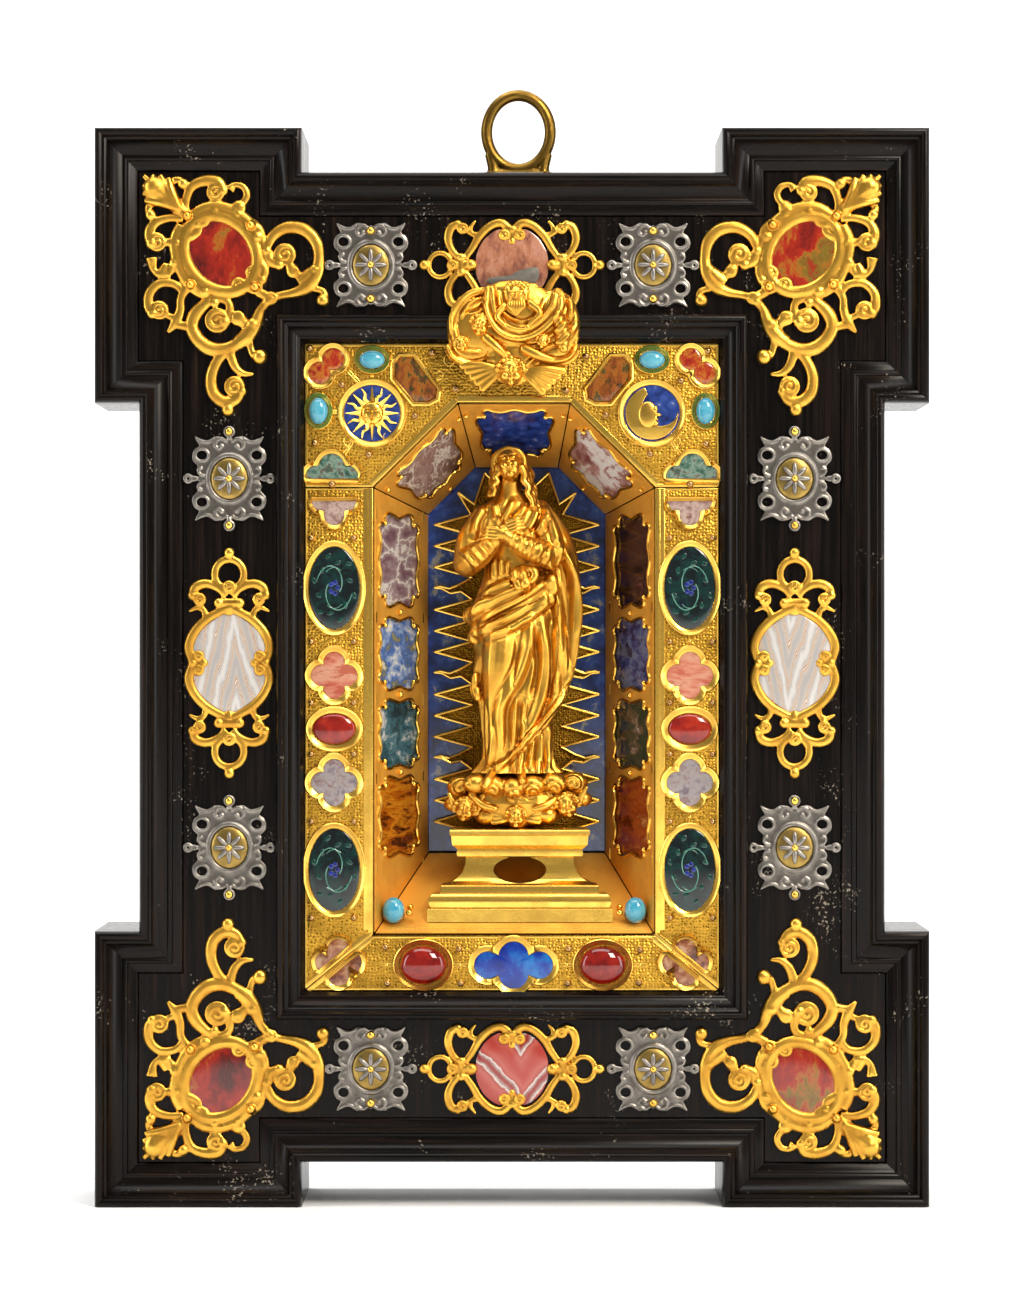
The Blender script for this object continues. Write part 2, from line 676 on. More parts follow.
def build_niche():
    """The splayed gilt walls with their sunk stones, the stone back and the sheet of rays."""
    shallow = PLATE_THICKNESS + CLEARANCE
    deep = NICHE_DEPTH - CLEARANCE - 0.6 * WALL_THICKNESS
    walls = (
        ("floor", 0, 1, ()),
        ("right_wall", 1, 2, tuple((1 - high, 1 - low) for low, high in WALL_STONES)),
        ("right_facet", 2, 3, FACET_STONE),
        ("arch_facet", 3, 4, FACET_STONE),
        ("left_facet", 4, 5, FACET_STONE),
        ("left_wall", 5, 0, WALL_STONES),
    )
    for name, start, end, stones in walls:
        near_a, near_b, far_a, far_b = corner_points((shallow, deep), (start, end))
        place = plane_through(near_a, near_b, far_a)
        back_to_plane = place.inverted()
        loop = [(back_to_plane @ p).xy for p in (near_a, near_b, far_b, far_a)]
        loop = offset_loop([tuple(p) for p in loop], CLEARANCE / 2)
        settings = []
        for low, high in stones:
            panel = [on_wall(point, loop) for point in wavy_panel(low, high, PANEL_NEAR, PANEL_FAR)]
            settings.append((panel, ((0.0002, -RECESS),), -RECESS))
        sheet(name, [loop], place, WALL_THICKNESS, GILT, settings)
    panel = niche_outline(NICHE_DEPTH, 0.003)
    sheet("stone_back", [panel], front_plane(NICHE_BACK_Y), STONE_PANEL_THICKNESS, LAPIS)


def build_rays():
    """A gilt sheet whose edge is cut into pointed rays."""
    x = NICHE_BACK_X
    tip = NICHE_BACK_HALF_WIDTH - 3 * CLEARANCE
    valley = tip - RAY_LENGTH
    low = BACK_FLOOR_Z + RAY_FOOT
    high = BACK_SHOULDER_Z + FOOT_GAP
    pitch = (high - low) / (RAYS_ON_A_SIDE - 0.5)
    right = []
    for i in range(RAYS_ON_A_SIDE):
        z = low + i * pitch
        right.append((x + valley, z - pitch / 2))
        right.append((x + tip, z))
    right.append((x + valley, high))
    crown = []
    for tip_x, tip_z, valley_x, valley_z in (
        (0.71, 0.50, 0.50, 0.25),
        (0.38, 0.93, 0.15, 0.54),
    ):
        crown.append((x + tip_x * tip, high + tip_z * NICHE_BACK_FACET))
        crown.append((x + valley_x * tip, high + valley_z * NICHE_BACK_FACET))
    right = right + crown
    left = [(2 * x - px, pz) for px, pz in reversed(right)]
    place = front_plane(NICHE_BACK_Y - RAY_STAND_OFF)
    sheet("rays", [right + left], place, RAY_SHEET, GILT)


def curve_through(points, steps):
    """Points on a smooth curve through the given ones; each may carry more values, such as a radius."""
    data = np.array(points, float)
    padded = np.vstack([2 * data[0] - data[1], data, 2 * data[-1] - data[-2]])
    found = []
    for i in range(1, len(padded) - 2):
        a, b, c, d = padded[i - 1 : i + 3]
        for t in np.arange(steps) / steps:
            found.append(
                0.5 * (2 * b + (c - a) * t + (2 * a - 5 * b + 4 * c - d) * t**2 + (3 * b - a - 3 * c + d) * t**3)
            )
    found.append(data[-1])
    return np.array(found)


def ring_stroke(x, z, half_width, half_height, radius, turn=0.0):
    """A closed band, as the points of a stroke."""
    loop = ellipse(x, z, half_width, half_height, 16, turn)
    return [(px, pz, radius) for px, pz in [*loop, loop[0]]]


def quartered(strokes):
    """The strokes of one quarter of a drawing, with their mirror images in both axes."""
    found = []
    for sx in (1, -1):
        for sz in (1, -1):
            found.extend([(sx * x, sz * z, r) for x, z, r in stroke] for stroke in strokes)
    return found


def openwork_field(strokes, half_width, half_height, cell):
    """Distance to the edge of the drawn metal on a grid: positive in the metal. Also the grid's axes."""
    xs = np.arange(-half_width, half_width + cell, cell)
    zs = np.arange(-half_height, half_height + cell, cell)
    grid_x, grid_z = np.meshgrid(xs, zs)
    field = np.full(grid_x.shape, -9.0)
    for stroke in strokes:
        for (x0, z0, r0), (x1, z1, r1) in zip(stroke[:-1], stroke[1:]):
            dx = x1 - x0
            dz = z1 - z0
            span = max(dx * dx + dz * dz, 1e-9)
            t = np.clip(((grid_x - x0) * dx + (grid_z - z0) * dz) / span, 0, 1)
            reach = r0 + (r1 - r0) * t - np.hypot(grid_x - x0 - t * dx, grid_z - z0 - t * dz)
            field = np.maximum(field, reach)
    return field, xs, zs


def contours(field, xs, zs, level):
    """Closed loops where the field crosses a level, with the higher side on the left."""
    above = field > level
    follow = {}

    def crossing(i0, j0, i1, j1):
        a = field[i0, j0]
        b = field[i1, j1]
        t = (level - a) / (b - a)
        return (xs[j0] + (xs[j1] - xs[j0]) * t, zs[i0] + (zs[i1] - zs[i0]) * t)

    mixed = (above[:-1, :-1] != above[1:, :-1]) | (above[:-1, :-1] != above[:-1, 1:])
    mixed |= above[:-1, :-1] != above[1:, 1:]
    place = {}
    for i, j in np.argwhere(mixed):
        corners = ((i, j), (i, j + 1), (i + 1, j + 1), (i + 1, j))
        leaving = []
        entering = []
        for k in range(4):
            a = corners[k]
            b = corners[(k + 1) % 4]
            if above[a] == above[b]:
                continue
            key = (min(a, b), max(a, b))
            place[key] = crossing(*a, *b)
            if above[a]:
                leaving.append((k, key))
            else:
                entering.append((k, key))
        for k, key in leaving:
            nearest = min(entering, key=lambda other: (k - other[0]) % 4)
            follow[key] = nearest[1]
    loops = []
    while follow:
        start, following = next(iter(follow.items()))
        loop = [place[start]]
        del follow[start]
        while following != start and following in follow:
            loop.append(place[following])
            following = follow.pop(following)
        loops.append(loop)
    return loops


def area_of(loop):
    """The signed area of a loop: positive when it runs anticlockwise."""
    x, y = np.array(loop).T
    return 0.5 * float(np.sum(x * np.roll(y, -1) - np.roll(x, -1) * y))


def thinned(loop, tolerance):
    """The loop with the points dropped that lie within a tolerance of the line between kept ones."""
    points = np.array(loop)
    far = int(np.argmax(np.hypot(*(points - points[0]).T)))
    kept = {0, far}
    stack = [(0, far), (far, len(points))]
    while stack:
        a, b = stack.pop()
        if b - a < 2:
            continue
        start = points[a]
        line = points[b % len(points)] - start
        length = max(float(np.hypot(*line)), 1e-9)
        between = points[a + 1 : b] - start
        away = np.abs(between[:, 0] * line[1] - between[:, 1] * line[0]) / length
        worst = int(np.argmax(away))
        if away[worst] > tolerance:
            middle = a + 1 + worst
            kept.add(middle)
            stack.extend(((a, middle), (middle, b)))
    return [tuple(points[i]) for i in sorted(kept)]


class Openwork:
    """One cast mount pattern, drawn in squares, and the seat of the stone that it frames."""

    def __init__(self, strokes, half_width, half_height, square, tolerance, peak_gap, knobs=(), least_hole=6.0):
        smooth = [curve_through(s, 4) if len(s) > 2 else np.array(s, float) for s in strokes]
        field, xs, zs = openwork_field(smooth, half_width, half_height, 1.0)
        self.square = square
        metal = [loop for loop in contours(field, xs, zs, 0.0) if abs(area_of(loop)) > least_hole]
        outer = max(metal, key=lambda loop: abs(area_of(loop)))
        holes = [loop for loop in metal if area_of(loop) < 0]
        self.loops = [thinned(outer, tolerance)]
        for hole in holes:
            loop = thinned(hole, SEAT_TOLERANCE if inside_loops((0.0, 0.0), [hole]) else tolerance)
            if len(loop) > 2:
                self.loops.append(loop)
        gap = CLEARANCE / square + 2 * SEAT_TOLERANCE
        seats = [loop for loop in contours(field, xs, zs, -gap) if area_of(loop) < 0]
        seats = [loop for loop in seats if inside_loops((0.0, 0.0), [loop])]
        self.seat = thinned(seats[0], SEAT_TOLERANCE)[::-1] if seats else None
        self.peaks = list(knobs) or self.ridge(smooth, field, xs, zs, peak_gap)

    @staticmethod
    def ridge(strokes, field, xs, zs, gap):
        """Points along the middle of the bands, a gap apart, where no wider band covers them."""
        found = []
        for stroke in strokes:
            for x, z, radius in stroke[1:-1:2]:
                j = int(round((x - xs[0]) / (xs[1] - xs[0])))
                i = int(round((z - zs[0]) / (zs[1] - zs[0])))
                clear = all(math.hypot(x - a, z - b) > gap for a, b, _ in found)
                if clear and radius > 1.5 and field[i, j] < radius + 0.6:
                    found.append((x, z, min(1.0, radius / 3)))
        return found

    def scaled(self, loop, x, z, hand_x, hand_z):
        """A drawn loop at its real size and place, mirrored as the hands say."""
        placed = [(x + hand_x * self.square * u, z + hand_z * self.square * v) for u, v in loop]
        return placed if hand_x * hand_z > 0 else placed[::-1]

    def make(self, name, x, z, hand_x, hand_z, material):
        """The casting, with its edge and its ridge."""
        base_y = FIELD_Y - CLEARANCE
        loops = [self.scaled(loop, x, z, hand_x, hand_z) for loop in self.loops]
        peaks = [
            (x + hand_x * self.square * u, z + hand_z * self.square * v, MOUNT_RELIEF * share)
            for u, v, share in self.peaks
        ]
        return sheet(name, loops, front_plane(base_y - MOUNT_EDGE), MOUNT_EDGE, material, (), peaks)

    def stone(self, name, x, z, hand_x, hand_z, material):
        """The stone that fills the opening in the middle of the casting."""
        loop = self.scaled(self.seat, x, z, hand_x, hand_z)
        return cabochon(name, loop, FIELD_Y - CLEARANCE, 0.6 * MOUNT_STONE, 0.4 * MOUNT_STONE, material)


def corner_drawing():
    """The corner mount on its squares: a tilted oval band with a leaf, scrolls and a tail."""
    stone = (55.5, 56.1)
    drawn = [
        ring_stroke(*stone, 25.0, 20.5, 3.4, 50.0),
        [(34.5, 33.0, 2.8), (26.0, 24.5, 4.6), (17.5, 18.0, 7.0), (15.5, 16.0, 6.0)],
        [(25.0, 20.0, 1.6), (26.5, 12.5, 1.9), (30.5, 11.5, 2.0), (33.0, 13.8, 2.8)],
        [(19.0, 25.5, 1.6), (13.0, 26.5, 1.9), (11.8, 30.0, 2.0), (13.2, 32.6, 2.8)],
        [(35.0, 33.0, 1.8), (34.5, 24.0, 2.2), (38.0, 15.5, 2.6), (46.0, 12.0, 3.0), (54.0, 12.8, 3.1), (57.0, 18.0, 2.6)],
        [(52.0, 19.0, 4.9), (53.0, 20.5, 4.9)],
        [(33.0, 35.0, 1.8), (24.0, 34.5, 2.2), (15.8, 37.5, 2.6), (12.5, 43.5, 3.0), (13.8, 50.0, 3.0)],
        [(18.5, 48.5, 4.9), (19.5, 49.5, 4.9)],
        [(52.5, 23.0, 2.2), (52.0, 30.0, 2.6)],
        [(22.0, 49.0, 2.2), (29.0, 49.5, 2.6)],
        [(61.0, 17.2, 2.8), (64.0, 14.4, 1.6), (69.0, 15.5, 1.8), (71.5, 20.5, 1.9), (68.5, 26.0, 2.0), (64.5, 30.0, 2.6)],
        [(13.8, 58.5, 3.3), (15.0, 65.5, 1.9), (19.5, 69.0, 2.1), (24.5, 67.5, 2.1), (27.5, 61.5, 2.6)],
        [(39.0, 33.0, 3.0), (46.5, 28.5, 3.2), (56.0, 28.0, 3.2), (65.0, 31.5, 3.2), (73.0, 38.0, 3.2), (77.5, 46.0, 3.0)],
        [(32.0, 39.0, 3.0), (28.5, 46.5, 3.2), (28.5, 56.0, 3.2), (31.5, 66.0, 3.0), (36.5, 73.5, 3.2), (46.0, 79.0, 3.0)],
        [(74.0, 38.5, 3.6), (79.0, 42.0, 2.6), (80.5, 49.0, 2.4), (83.5, 54.5, 2.4)],
        [(37.0, 74.5, 3.6), (42.0, 79.5, 2.4), (48.5, 82.0, 2.2), (52.0, 86.0, 2.4)],
        [(76.0, 75.5, 5.2), (77.0, 76.5, 5.2)],
        [(75.0, 67.5, 4.6), (76.5, 68.5, 4.6)],
        [(66.5, 74.5, 4.4), (68.0, 75.5, 4.4)],
        [(79.0, 60.0, 2.6), (82.0, 66.0, 2.6), (80.5, 72.0, 2.6)],
        [(83.0, 53.5, 2.2), (87.5, 45.0, 2.8), (96.0, 40.2, 3.2), (106.0, 41.5, 3.4), (113.0, 48.5, 3.2),
         (115.0, 58.0, 2.8), (113.5, 67.5, 3.6), (108.5, 75.5, 3.8), (101.0, 79.5, 2.8), (92.5, 81.2, 2.2), (86.0, 83.0, 2.6)],
        [(84.0, 55.0, 2.2), (88.5, 60.5, 3.0), (94.0, 57.0, 5.4), (95.0, 56.0, 5.4)],
        [(97.0, 61.0, 1.8), (99.0, 66.0, 3.3), (103.5, 70.0, 2.0), (106.0, 74.0, 2.2)],
        [(110.5, 77.0, 1.8), (117.0, 78.5, 1.8), (118.5, 81.5, 2.0), (117.3, 84.5, 3.2)],
        [(86.0, 83.0, 4.2), (86.5, 84.0, 4.2)],
        [(78.0, 79.0, 2.6), (84.0, 82.0, 2.6)],
        [(51.0, 81.0, 2.4), (60.0, 85.5, 2.2), (60.8, 92.0, 2.4), (58.0, 97.5, 3.0)],
        [(54.0, 97.0, 5.6), (53.0, 96.0, 5.6)],
        [(49.0, 84.0, 2.6), (41.0, 91.5, 3.4), (38.0, 99.5, 3.4), (41.5, 107.5, 3.6), (48.5, 113.2, 3.8), (57.0, 114.0, 3.4),
         (65.0, 111.0, 3.4), (72.0, 105.0, 4.2), (77.0, 97.5, 3.6), (79.5, 90.5, 2.4), (84.0, 85.0, 2.6)],
        [(61.0, 94.0, 1.8), (66.5, 95.5, 3.6), (71.5, 100.5, 2.0), (75.0, 100.5, 2.0)],
        [(73.0, 109.0, 2.0), (75.0, 116.5, 2.0), (79.5, 118.5, 3.8)],
        [(35.5, 76.0, 2.6), (31.5, 83.0, 2.2), (31.0, 90.5, 2.4), (28.0, 98.0, 2.6), (23.6, 103.8, 0.9)],
        [(27.5, 99.0, 2.0), (38.5, 100.5, 2.6)],
        [(33.0, 79.0, 2.2), (27.5, 74.5, 2.2), (19.0, 74.0, 2.4), (12.8, 79.5, 2.6), (11.8, 87.0, 2.8), (14.0, 92.5, 2.6)],
        [(18.5, 90.3, 5.0), (19.0, 91.3, 5.0)],
        [(22.0, 93.0, 1.8), (28.5, 95.5, 1.8)],
        [(60.0, 114.0, 2.4), (53.5, 121.0, 2.8), (49.8, 130.5, 3.0), (51.0, 140.0, 3.2), (57.0, 145.5, 3.2),
         (64.0, 145.0, 2.8), (68.5, 139.5, 2.4)],
        [(63.5, 134.5, 5.0), (64.0, 136.0, 5.0)],
        [(59.5, 148.0, 2.2), (60.0, 150.5, 3.2)],
        [(61.0, 115.0, 2.6), (64.0, 124.0, 2.4), (69.0, 128.5, 1.8), (75.5, 129.0, 0.8)],
    ]
    return [[(x - stone[0], stone[1] - z, r) for x, z, r in stroke] for stroke in drawn]


def side_drawing():
    """One quarter of the tall mount at the middle of each side."""
    return quartered(
        [
            ring_stroke(0.0, 58.5, 9.6, 9.8, 2.2),
            [(0.0, 68.0, 2.0), (0.0, 72.5, 3.0)],
            [(0.0, 50.0, 4.6), (0.0, 49.0, 4.6)],
            [(2.0, 44.0, 2.4), (7.0, 49.0, 2.2), (15.0, 52.3, 2.6), (22.0, 50.0, 2.8), (24.3, 44.5, 2.6)],
            [(19.5, 42.0, 4.4), (20.0, 43.0, 4.4)],
            [(15.0, 29.0, 2.2), (17.0, 35.0, 1.8), (21.0, 36.5, 1.5), (26.5, 34.0, 0.7)],
            [(19.5, 40.0, 2.2), (18.0, 34.5, 1.8)],
            [(-7.0, 39.5, 2.8), (7.0, 39.5, 2.8)],
            [(0.0, 37.0, 3.0), (0.0, 31.5, 2.2)],
            [(1.0, 36.5, 2.4), (14.0, 29.5, 2.6), (22.5, 21.0, 2.8), (26.6, 11.0, 2.8), (24.5, 2.0, 2.6), (24.0, 0.0, 2.6)],
            [(20.0, 4.6, 3.8), (20.5, 5.0, 3.8)],
            [(24.0, 0.0, 2.0), (16.5, 0.0, 2.4)],
        ]
    )


def crown_drawing():
    """One quarter of the wide mount at the middle of the top and of the bottom."""
    return quartered(
        [
            ring_stroke(59.5, 0.0, 9.3, 10.0, 1.9),
            [(69.0, 0.0, 2.0), (72.5, 0.0, 3.6)],
            [(49.5, 0.0, 4.8), (48.0, 0.0, 4.8)],
            [(44.0, 6.0, 2.4), (50.0, 13.0, 2.6), (53.0, 22.0, 3.0), (50.5, 31.0, 3.2), (45.0, 34.0, 3.0)],
            [(41.0, 30.5, 5.0), (42.0, 30.5, 5.0)],
            [(29.5, 25.0, 2.2), (33.5, 26.5, 2.0), (34.0, 31.5, 1.6), (30.0, 37.0, 0.8)],
            [(38.0, 29.0, 2.2), (33.5, 26.5, 2.0)],
            [(39.0, 5.5, 2.4), (33.0, 14.0, 2.6), (27.0, 24.0, 2.9), (18.0, 32.5, 3.0), (9.0, 35.0, 3.2), (1.0, 29.5, 2.8)],
            [(6.5, 25.0, 4.8), (7.0, 25.5, 4.8)],
            [(0.0, 29.0, 2.8), (0.0, 19.5, 2.4)],
            [(42.0, 0.0, 3.0), (42.0, 6.5, 3.0)],
            [(40.0, 0.0, 3.0), (33.5, 0.0, 4.0)],
        ]
    )


def silver_drawing(with_tabs):
    """One quarter of a silver mount: an oval ring, corner loops, horns and side eyes."""
    strokes = [
        ring_stroke(0.0, 0.0, 12.0, 13.5, 13.0),
        ring_stroke(30.5, 31.5, 10.5, 9.0, 2.4),
        [(13.0, 43.0, 5.0), (25.0, 45.0, 3.4), (33.0, 46.5, 2.4), (41.0, 52.0, 1.2)],
        [(0.0, 26.0, 8.0), (0.0, 48.0, 9.0)],
        [(26.0, 0.0, 8.0), (40.0, 0.0, 6.0), (50.0, 0.0, 5.0)],
        [(33.0, 22.0, 5.0), (36.0, 12.0, 6.0)],
    ]
    if with_tabs:
        strokes.append([(0.0, 50.0, 5.0), (0.0, 60.0, 6.4)])
    return quartered(strokes)


def silver_star():
    """Peaks of the eight-petalled star in a silver mount: a high middle and the petals' ridges."""
    petals = [(13.0 * math.cos(k * math.pi / 4), 13.0 * math.sin(k * math.pi / 4), 1.0) for k in range(8)]
    return [(0.0, 0.0, 1.9), *petals]


def build_mounts():
    """Every openwork mount on the field, and the stones that the gilt ones frame."""
    half = FRAME_WIDTH / 2
    corner = Openwork(corner_drawing(), 70.0, 102.0, CORNER_SQUARE, 3.3, 34.0, (), 100.0)
    for upper, hand_z, z in (("upper", 1, FRAME_HEIGHT - CORNER_INSET), ("lower", -1, CORNER_INSET)):
        for side, hand_x in (("left", 1), ("right", -1)):
            x = -hand_x * (half - CORNER_INSET)
            corner.make(f"corner_mount_{upper}_{side}", x, z, hand_x, hand_z, GILT)
            corner.stone(f"jasper_{upper}_{side}", x, z, hand_x, hand_z, JASPER)
    tall = Openwork(side_drawing(), 34.0, 78.0, SIDE_SQUARE, 3.2, 26.0, (), 40.0)
    middle = MID_Z + SIDE_RISE
    for side, hand in (("left", -1), ("right", 1)):
        tall.make(f"side_mount_{side}", hand * SIDE_MOUNT_X, middle, 1, 1, GILT)
        tall.stone(f"agate_{side}", hand * SIDE_MOUNT_X, middle, 1, 1, AGATE)
    wide = Openwork(crown_drawing(), 80.0, 42.0, CROWN_SQUARE, 3.6, 28.0, (), 40.0)
    for end, rise in (("top", 1), ("bottom", -1)):
        wide.make(f"{end}_mount", 0.0, MID_Z + rise * CROWN_MOUNT_Z, 1, 1, GILT)
        wide.stone(f"{end}_agate", 0.0, MID_Z + rise * CROWN_MOUNT_Z, 1, 1, AGATE)
    plain = Openwork(silver_drawing(False), 60.0, 60.0, SILVER_SQUARE, 5.2, 9.0, silver_star(), 100.0)
    tabbed = Openwork(silver_drawing(True), 60.0, 70.0, SILVER_SQUARE, 5.2, 9.0, silver_star(), 100.0)
    spread_x = CROWN_HALF_LENGTH * CROWN_SQUARE + SILVER_GAP_X + SILVER_HALF_WIDTH * SILVER_SQUARE
    spread_z = SIDE_HALF_LENGTH * SIDE_SQUARE + SILVER_GAP_Z + SILVER_HALF_LENGTH * SILVER_SQUARE
    for side, hand in (("left", -1), ("right", 1)):
        for end, rise in (("top", 1), ("bottom", -1)):
            z = MID_Z + rise * CROWN_MOUNT_Z
            plain.make(f"silver_mount_{end}_{side}", hand * spread_x, z, 1, 1, SILVER)
        for end, rise in (("upper", 1), ("lower", -1)):
            z = middle + rise * spread_z
            tabbed.make(f"silver_mount_{side}_{end}", hand * SIDE_MOUNT_X, z, 1, 1, SILVER)


def add_ball(mesh_data, centre, radii, turn=(0.0, 0.0, 0.0)):
    """An ellipsoid, turned by angles in degrees about X, Y and Z."""
    turned = Matrix.Identity(4)
    for angle, axis in zip(turn, "XYZ"):
        turned = Matrix.Rotation(math.radians(angle), 4, axis) @ turned
    shape = Matrix.Translation(centre) @ turned @ Matrix.Diagonal((*radii, 1.0))
    bmesh.ops.create_icosphere(mesh_data, subdivisions=3, radius=1.0, matrix=shape)


def add_tube(mesh_data, points, flatten=1.0, steps=4, sides=12):
    """A tube through (x, y, z, radius) points with rounded ends; flatten squeezes it front to back."""
    path = curve_through(points, steps)
    rings = []
    for i, (x, y, z, radius) in enumerate(path):
        ahead = path[min(i + 1, len(path) - 1)][:3] - path[max(i - 1, 0)][:3]
        along = Vector(ahead).normalized()
        side = along.cross(Vector((0, 1, 0)))
        if side.length < 0.1:
            side = along.cross(Vector((1, 0, 0)))
        side.normalize()
        out = along.cross(side).normalized()
        ring = []
        for k in range(sides):
            angle = 2 * math.pi * k / sides
            offset = side * math.cos(angle) + out * (math.sin(angle) * flatten)
            ring.append(mesh_data.verts.new(Vector((x, y, z)) + offset * radius))
        rings.append(ring)
    for ring, following in zip(rings, rings[1:]):
        for k in range(sides):
            j = (k + 1) % sides
            mesh_data.faces.new([ring[k], ring[j], following[j], following[k]])
    mesh_data.faces.new(rings[0][::-1])
    mesh_data.faces.new(rings[-1])
    for x, y, z, radius in (path[0], path[-1]):
        add_ball(mesh_data, (x, y, z), (radius * 0.96, radius * 0.96 * flatten, radius * 0.96))


def add_loft(mesh_data, sections, folds, steps=5, sides=48):
    """An upright body: sections are (z, x, y, half width, half depth), folds ripple its radius."""
    path = curve_through(sections, steps)
    rings = []
    for z, x, y, wide, deep in path:
        ring = []
        for k in range(sides):
            angle = 2 * math.pi * k / sides
            ripple = 1 + folds(z, angle)
            px = x + wide * ripple * math.cos(angle)
            py = y + deep * ripple * math.sin(angle)
            ring.append(mesh_data.verts.new((px, py, z)))
        rings.append(ring)
    for ring, following in zip(rings, rings[1:]):
        for k in range(sides):
            j = (k + 1) % sides
            mesh_data.faces.new([ring[k], ring[j], following[j], following[k]])
    mesh_data.faces.new(rings[0][::-1])
    mesh_data.faces.new(rings[-1])


def flat_cut(mesh_data, point, outwards):
    """Cuts closed shapes off flat at a plane, drops what lies outside it, and closes them again."""
    everything = mesh_data.verts[:] + mesh_data.edges[:] + mesh_data.faces[:]
    bmesh.ops.bisect_plane(mesh_data, geom=everything, plane_co=point, plane_no=outwards, clear_outer=True)
    rim = [edge for edge in mesh_data.edges if edge.is_boundary]
    bmesh.ops.holes_fill(mesh_data, edges=rim)


def cast_in_one(name, mesh_data, voxel, share, material, place=None):
    """Fuses overlapping closed shapes into one casting and thins its mesh to a share of its faces."""
    if place:
        bmesh.ops.transform(mesh_data, matrix=place, verts=mesh_data.verts)
    bmesh.ops.recalc_face_normals(mesh_data, faces=mesh_data.faces)
    mesh = bpy.data.meshes.new(name)
    mesh_data.to_mesh(mesh)
    mesh_data.free()
    mesh.materials.append(surface(material))
    mesh.shade_smooth()
    made = bpy.data.objects.new(name, mesh)
    bpy.context.scene.collection.objects.link(made)
    fused = made.modifiers.new("fused", "REMESH")
    fused.mode = "VOXEL"
    fused.voxel_size = voxel
    fused.use_smooth_shade = True
    thinner = made.modifiers.new("thinned", "DECIMATE")
    thinner.ratio = share
    return made


def figure_folds(z, angle):
    """Folds of the skirt: deep and upright low down, and shallower towards the waist."""
    down = 1 - min(max(z / (0.5 * FIGURE_HEIGHT), 0), 1)
    upright = math.cos(9 * angle + 0.8) * 0.075 + math.cos(5 * angle + 2.0) * 0.05
    return upright * down


